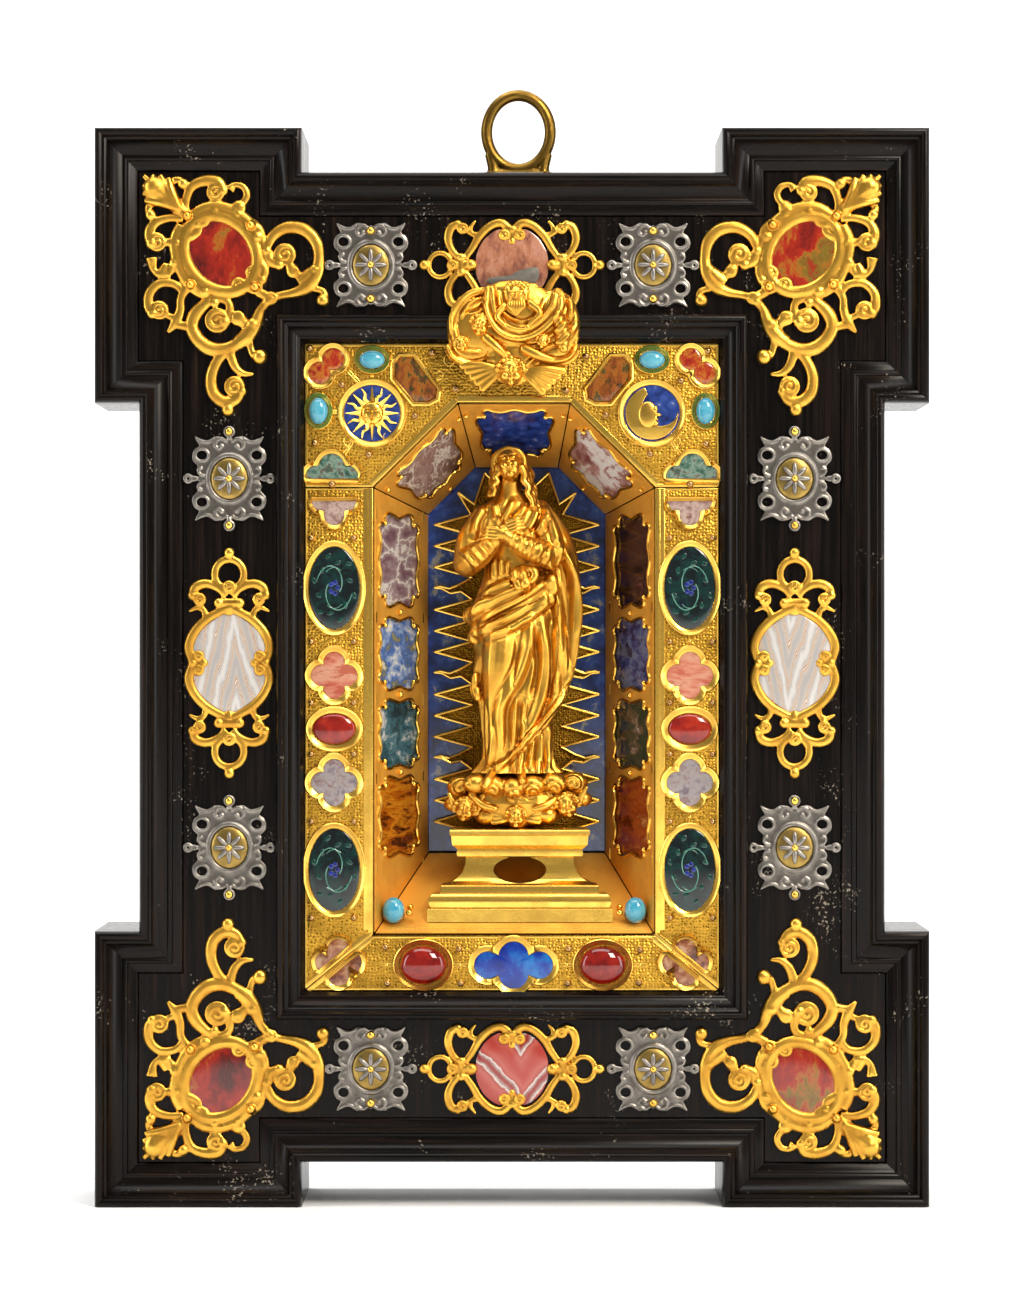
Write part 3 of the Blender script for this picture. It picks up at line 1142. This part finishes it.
def build_figure():
    """The standing figure in a gathered mantle, head raised, with hands crossed on the breast."""
    h = FIGURE_HEIGHT
    shape = bmesh.new()
    body = (
        (0.000, 0.014, 0.000, 0.120, 0.088),
        (0.040, 0.010, 0.000, 0.100, 0.080),
        (0.160, 0.000, 0.000, 0.096, 0.078),
        (0.290, -0.010, 0.000, 0.100, 0.080),
        (0.390, -0.016, 0.000, 0.108, 0.084),
        (0.500, -0.008, 0.000, 0.112, 0.084),
        (0.600, 0.000, 0.000, 0.096, 0.074),
        (0.690, 0.000, 0.000, 0.092, 0.070),
        (0.780, 0.002, 0.000, 0.100, 0.064),
        (0.830, 0.004, 0.000, 0.096, 0.056),
        (0.862, 0.000, 0.000, 0.056, 0.044),
        (0.890, -0.002, -0.002, 0.034, 0.034),
        (0.920, -0.004, -0.004, 0.032, 0.034),
    )
    add_loft(shape, body, lambda z, angle: figure_folds(z * h, angle))
    add_tube(shape, [(0.10, 0.0, 0.81, 0.040), (0.15, 0.01, 0.70, 0.050), (0.175, 0.01, 0.60, 0.050),
                     (0.178, 0.01, 0.47, 0.048), (0.165, 0.0, 0.35, 0.044), (0.13, -0.02, 0.26, 0.040),
                     (0.08, -0.055, 0.17, 0.030), (0.045, -0.075, 0.10, 0.018)])
    add_tube(shape, [(0.12, 0.01, 0.62, 0.05), (0.12, 0.01, 0.45, 0.06), (0.11, 0.0, 0.30, 0.05)])
    add_tube(shape, [(-0.135, -0.03, 0.50, 0.030), (-0.06, -0.075, 0.545, 0.026), (0.03, -0.085, 0.59, 0.026), (0.10, -0.06, 0.62, 0.030)])
    add_tube(shape, [(-0.140, -0.02, 0.46, 0.028), (-0.07, -0.080, 0.495, 0.024), (0.02, -0.092, 0.54, 0.022), (0.11, -0.06, 0.58, 0.026)])
    add_tube(shape, [(-0.125, -0.02, 0.40, 0.026), (-0.06, -0.082, 0.43, 0.022), (0.02, -0.095, 0.48, 0.020), (0.10, -0.06, 0.53, 0.022)])
    add_tube(shape, [(0.085, -0.075, 0.52, 0.022), (0.055, -0.092, 0.40, 0.020), (0.025, -0.095, 0.28, 0.018), (-0.05, -0.085, 0.21, 0.014)])
    add_tube(shape, [(0.10, -0.07, 0.48, 0.018), (0.085, -0.080, 0.30, 0.018), (0.06, -0.080, 0.08, 0.016)])
    add_tube(shape, [(-0.07, -0.075, 0.30, 0.020), (-0.075, -0.070, 0.16, 0.016), (-0.07, -0.075, 0.02, 0.018)])
    add_tube(shape, [(-0.085, 0.0, 0.795, 0.044), (-0.135, -0.02, 0.69, 0.048), (-0.145, -0.03, 0.63, 0.050)])
    add_tube(shape, [(-0.145, -0.035, 0.63, 0.050), (-0.100, -0.085, 0.685, 0.044), (-0.045, -0.105, 0.735, 0.026)])
    add_tube(shape, [(0.095, 0.0, 0.795, 0.042), (0.115, -0.03, 0.70, 0.046), (0.115, -0.04, 0.655, 0.046)])
    add_tube(shape, [(0.115, -0.045, 0.650, 0.046), (0.055, -0.095, 0.680, 0.040), (-0.015, -0.112, 0.725, 0.026)])
    add_tube(shape, [(-0.045, -0.108, 0.735, 0.020), (-0.005, -0.112, 0.765, 0.014)])
    add_tube(shape, [(-0.015, -0.114, 0.728, 0.022), (0.020, -0.110, 0.770, 0.018), (0.045, -0.098, 0.790, 0.012)])
    add_ball(shape, (0.035, -0.095, 0.615), (0.028, 0.022, 0.030))
    add_ball(shape, (0.070, -0.088, 0.625), (0.022, 0.020, 0.022))
    add_ball(shape, (-0.012, -0.010, 0.940), (0.048, 0.054, 0.060), (-24, 8, 0))
    add_ball(shape, (-0.006, 0.012, 0.946), (0.060, 0.054, 0.054), (-24, 8, 0))
    add_tube(shape, [(-0.055, 0.01, 0.95, 0.022), (-0.072, 0.0, 0.89, 0.024), (-0.066, -0.03, 0.82, 0.020)])
    add_tube(shape, [(0.048, 0.01, 0.95, 0.022), (0.064, 0.0, 0.88, 0.026), (0.080, -0.04, 0.80, 0.020)])
    place = Matrix.Translation((FIGURE_X, FIGURE_Y, figure_foot())) @ Matrix.Scale(h, 4)
    cast_in_one("figure", shape, 0.0011, FIGURE_SHARE, GILT, place)


def pedestal_foot():
    """The height of the pedestal's front lower edge, where it meets the sloping floor."""
    front = FIGURE_Y - PEDESTAL_HALF_DEPTH
    return FLOOR_Z + FLOOR_RISE * (front - PLATE_Y) / NICHE_DEPTH + CLEARANCE * 1.5


def cloud_foot():
    """The height at which the clouds rest on the pedestal."""
    return pedestal_foot() + PEDESTAL_HEIGHT + CLEARANCE


def figure_foot():
    """The height of the figure's hem, on top of the clouds."""
    return cloud_foot() + BASE_HEIGHT + CLEARANCE + FOOT_GAP


def build_clouds():
    """The bank of clouds under the figure, with three winged heads and the tips of a crescent."""
    shape = bmesh.new()
    h = BASE_HEIGHT
    add_ball(shape, (0.0, 0.0, 0.46 * h), (0.0215, 0.0125, 0.52 * h))
    for x, z, r in ((-0.0195, 0.62, 0.0062), (-0.012, 0.70, 0.0056), (0.0125, 0.70, 0.0056), (0.020, 0.66, 0.0064)):
        add_ball(shape, (x, -0.001, z * h), (r * 1.1, 0.0105, 0.30 * h))
    for x, z in ((-0.0195, 0.42), (-0.0006, 0.32), (0.0195, 0.50)):
        add_ball(shape, (x, -0.0095, z * h), (0.0043, 0.0045, 0.0050))
        add_ball(shape, (x, -0.0075, (z + 0.10) * h), (0.0052, 0.0046, 0.0046))
    for x0, x1, z in ((-0.0006, -0.0100, 0.30), (-0.0006, 0.0088, 0.30), (-0.0195, -0.0120, 0.34), (0.0195, 0.0120, 0.42)):
        add_tube(shape, [(x0, -0.0085, z * h, 0.0028), ((x0 + x1) / 2, -0.0100, (z + 0.12) * h, 0.0026), (x1, -0.0080, (z + 0.34) * h, 0.0012)])
    add_tube(shape, [(-0.0125, -0.0085, 0.52 * h, 0.0018), (-0.0095, -0.0105, 0.72 * h, 0.0020), (-0.0070, -0.0095, 0.94 * h, 0.0008)])
    flat_cut(shape, (0, 0, 0), (0, 0, -1))
    place = Matrix.Translation((BASE_X, FIGURE_Y, cloud_foot()))
    cast_in_one("clouds", shape, 0.0008, CLOUD_SHARE, GILT, place)


def build_pedestal():
    """The moulded pedestal, hollow behind its oval window and cut to the slope of the floor."""
    w = PEDESTAL_HALF_WIDTH
    d = PEDESTAL_HALF_DEPTH
    t = PEDESTAL_HEIGHT
    foot = PEDESTAL_FOOT
    profile = (
        (0.0, w, d),
        (foot, w, d),
        (foot, w - 0.0014, d - 0.0012),
        (foot + 0.0030, w - 0.0008, d - 0.0008),
        (foot + 0.0056, w - 0.0022, d - 0.0020),
        (foot + 0.0062, w - 0.0052, d - 0.0034),
        (foot + 0.0088, w - 0.0056, d - 0.0038),
        (foot + 0.0110, w - 0.0110, d - 0.0056),
        (foot + 0.0150, w - 0.0142, d - 0.0070),
        (foot + 0.0196, w - 0.0148, d - 0.0074),
        (foot + 0.0200, w - 0.0115, d - 0.0062),
        (foot + 0.0236, w - 0.0112, d - 0.0060),
        (foot + 0.0250, w - 0.0094, d - 0.0046),
        (t - 0.0022, w - 0.0086, d - 0.0040),
        (t - 0.0006, w - 0.0096, d - 0.0046),
        (t, w - 0.0112, d - 0.0056),
    )
    shape = bmesh.new()
    rings = []
    base = pedestal_foot()
    for z, half_width, half_depth in profile:
        loop = rectangle(-half_width, -half_depth, half_width, half_depth)
        rings.append([shape.verts.new((PEDESTAL_X + x, FIGURE_Y + y, base + z)) for x, y in loop])
    for ring, following in zip(rings, rings[1:]):
        for i in range(4):
            shape.faces.new([ring[i], ring[(i + 1) % 4], following[(i + 1) % 4], following[i]])
    shape.faces.new(rings[0][::-1])
    shape.faces.new(rings[-1])
    body = finish("pedestal", shape, GILT)
    window = bmesh.new()
    loop = ellipse(PEDESTAL_X, base + foot + 0.0146, 0.0102, 0.0051, 16)
    ends = [[window.verts.new((x, y, z)) for x, z in loop] for y in (FIGURE_Y - 2 * d, FIGURE_Y + 0.004)]
    for i in range(16):
        j = (i + 1) % 16
        window.faces.new([ends[0][i], ends[0][j], ends[1][j], ends[1][i]])
    window.faces.new(ends[0][::-1])
    window.faces.new(ends[1])
    cutters = [finish("window_cutter", window, GILT)]
    under = bmesh.new()
    slope = FLOOR_RISE / NICHE_DEPTH
    lift = CLEARANCE * 1.5
    near = PLATE_Y
    far = NICHE_BACK_Y
    side = 2 * w
    section = ((near, FLOOR_Z + lift), (far, FLOOR_Z + lift + slope * (far - near)), (far, FLOOR_Z - 0.02), (near, FLOOR_Z - 0.02))
    ends = [[under.verts.new((x, y, z)) for y, z in section] for x in (-side, side)]
    for i in range(4):
        j = (i + 1) % 4
        under.faces.new([ends[0][i], ends[0][j], ends[1][j], ends[1][i]])
    under.faces.new(ends[0][::-1])
    under.faces.new(ends[1])
    cutters.append(finish("floor_cutter", under, GILT))
    for cutter in cutters:
        cutter.hide_render = True
        cutter.display_type = "WIRE"
        cut = body.modifiers.new(cutter.name, "BOOLEAN")
        cut.operation = "DIFFERENCE"
        cut.object = cutter


def build_crown_group():
    """The bearded half figure in swirling drapery over clouds, with small winged heads, above the niche."""
    w = CROWN_GROUP_WIDTH
    shape = bmesh.new()
    deep = CROWN_GROUP_RELIEF / w
    add_ball(shape, (0.0, 0.0, 0.52), (0.42, 0.62 * deep, 0.36))
    add_ball(shape, (-0.30, 0.0, 0.46), (0.20, 0.66 * deep, 0.24))
    add_ball(shape, (0.32, 0.0, 0.42), (0.20, 0.68 * deep, 0.24))
    add_ball(shape, (0.04, -0.45 * deep, 0.74), (0.085, 0.5 * deep, 0.10))
    add_ball(shape, (0.05, -0.50 * deep, 0.58), (0.12, 0.42 * deep, 0.14))
    add_ball(shape, (-0.22, -0.50 * deep, 0.50), (0.085, 0.42 * deep, 0.085))
    add_ball(shape, (-0.02, -0.42 * deep, 0.14), (0.10, 0.52 * deep, 0.115))
    add_tube(shape, [(0.02, -0.5 * deep, 0.34, 0.05), (0.25, -0.6 * deep, 0.42, 0.06), (0.38, -0.5 * deep, 0.56, 0.05), (0.30, -0.4 * deep, 0.74, 0.04)], 0.7)
    add_tube(shape, [(-0.12, -0.5 * deep, 0.72, 0.04), (-0.14, -0.6 * deep, 0.52, 0.05), (-0.02, -0.6 * deep, 0.40, 0.05), (0.18, -0.5 * deep, 0.50, 0.04)], 0.7)
    add_tube(shape, [(-0.48, -0.1 * deep, 0.36, 0.028), (-0.42, -0.3 * deep, 0.20, 0.035), (-0.24, -0.3 * deep, 0.15, 0.035), (-0.10, -0.2 * deep, 0.14, 0.04)], 0.8)
    add_tube(shape, [(0.46, -0.1 * deep, 0.24, 0.028), (0.32, -0.3 * deep, 0.12, 0.030), (0.14, -0.3 * deep, 0.14, 0.04)], 0.8)
    add_tube(shape, [(0.12, -0.5 * deep, 0.24, 0.05), (0.30, -0.5 * deep, 0.20, 0.04), (0.40, -0.4 * deep, 0.26, 0.04)], 0.8)
    add_tube(shape, [(-0.02, -0.2 * deep, 0.12, 0.05), (-0.20, -0.1 * deep, 0.08, 0.045), (-0.34, 0.0, 0.09, 0.03)], 0.6)
    add_tube(shape, [(-0.02, -0.2 * deep, 0.12, 0.05), (0.18, -0.1 * deep, 0.05, 0.045), (0.34, 0.0, 0.05, 0.03)], 0.6)
    flat_cut(shape, (0, 0, 0), (0, 1, 0))
    seat = (0.0006, FIELD_Y - GROUP_SEAT, SIGHT_HIGH - CROWN_GROUP_DROP)
    place = Matrix.Translation(seat) @ Matrix.Scale(w, 4)
    cast_in_one("crown_group", shape, 0.0008, GROUP_SHARE, GILT, place)


def build_ring():
    """The fixed hanging ring, drawn out to a collar on a small lobed plate."""
    shape = bmesh.new()
    r = RING_TUBE / 2
    wide = RING_WIDTH / 2 - r
    high = RING_HEIGHT - RING_TUBE
    top_edge = FRAME_HEIGHT - EAR_STEP
    points = []
    for i in range(17):
        angle = 2 * math.pi * i / 16 - math.pi / 2
        pinch = 1 - 0.25 * max(0.0, -math.sin(angle))
        z = 0.0022 + high / 2 + r + (high / 2 - 0.0011) * math.sin(angle)
        points.append((wide * pinch * math.cos(angle), 0.0, z, r))
    add_tube(shape, points)
    add_tube(shape, [(0.0, 0.0, 0.0046, 0.0046), (0.0, 0.0, 0.0010, 0.0062)])
    for i in range(3):
        add_ball(shape, ((i - 1) * 0.012, 0.0, 0.0), (0.0085, 0.0070, 0.0022))
    flat_cut(shape, (0, 0, 0), (0, 0, -1))
    place = Matrix.Translation((RING_X, 0.0, top_edge + CLEARANCE))
    cast_in_one("hanging_ring", shape, 0.0007, RING_SHARE, BRASS, place)


def main():
    """Builds every piece, from the case outwards."""
    for old in list(bpy.data.objects):
        bpy.data.objects.remove(old)
    build_frame()
    build_front_plates()
    build_roundels()
    build_niche()
    build_rays()
    build_mounts()
    build_pedestal()
    build_clouds()
    build_figure()
    build_crown_group()
    build_ring()


main()
